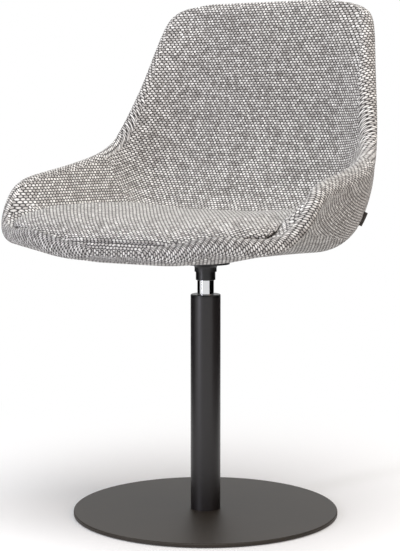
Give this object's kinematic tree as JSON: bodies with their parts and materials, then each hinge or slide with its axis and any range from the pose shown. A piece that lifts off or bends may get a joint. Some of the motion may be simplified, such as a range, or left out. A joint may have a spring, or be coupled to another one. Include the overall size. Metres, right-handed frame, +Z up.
{
  "type": "swivel dining chair",
  "caption": "Upholstered bucket dining chair with low arms that turns freely on a slim column over a round floor plate.",
  "frame": {"origin": "middle of the floor pad's underside, on the column's axis", "axes": "+Z up along the column, the sitter looks along -Y, +X is the sitter's left hand"},
  "size_m": [0.591, 0.4874, 0.86],
  "materials": {
    "pad_plastic": "matt",
    "dark_powder_coat": "fine matt powder coat",
    "black_paint": "satin black",
    "plain_steel": "plain",
    "zinc_steel": "zinc plated",
    "bearing_steel": "ground",
    "bright_chrome": "polished",
    "bronze": "sintered",
    "black_plastic": "satin",
    "cage_plastic": "natural nylon",
    "core_plastic": "as moulded",
    "woven_fabric": "chunky woven, light and dark grey yarns"
  },
  "bodies": {
    "base": {"floor_pad": "pad_plastic", "base_plate": "dark_powder_coat", "column_foot": "plain_steel", "base_screws": "zinc_steel", "column_tube": "dark_powder_coat", "column_cap": "black_plastic", "bearing_ring": "plain_steel", "journal_bush": "bronze", "lower_race": "bearing_steel"},
    "bearing": {"bearing_cage": "cage_plastic", "bearing_balls": "bearing_steel"},
    "seat": {"upper_race": "bearing_steel", "spindle": "bright_chrome", "centre_screw": "zinc_steel", "retaining_washer": "zinc_steel", "retaining_clip": "zinc_steel", "spindle_sleeve": "black_plastic", "seat_hub": "black_paint", "hub_screws": "zinc_steel", "insert_plate": "plain_steel", "seat_board": "core_plastic", "rim_frame": "plain_steel", "upholstery": "woven_fabric", "seat_cushion": "woven_fabric"}
  },
  "joints": [
    {"name": "seat_swivel", "type": "hinge", "parent": "base", "child": "seat", "pos_m": [0, 0, 0.209], "axis": [0, 0, 1], "continuous": true},
    {"name": "bearing_roll", "type": "hinge", "parent": "base", "child": "bearing", "pos_m": [0, 0, 0.209], "axis": [0, 0, 1], "continuous": true}
  ],
  "couplings": [
    {"joint": "bearing_roll", "follows": "seat_swivel", "ratio": 0.5}
  ]
}
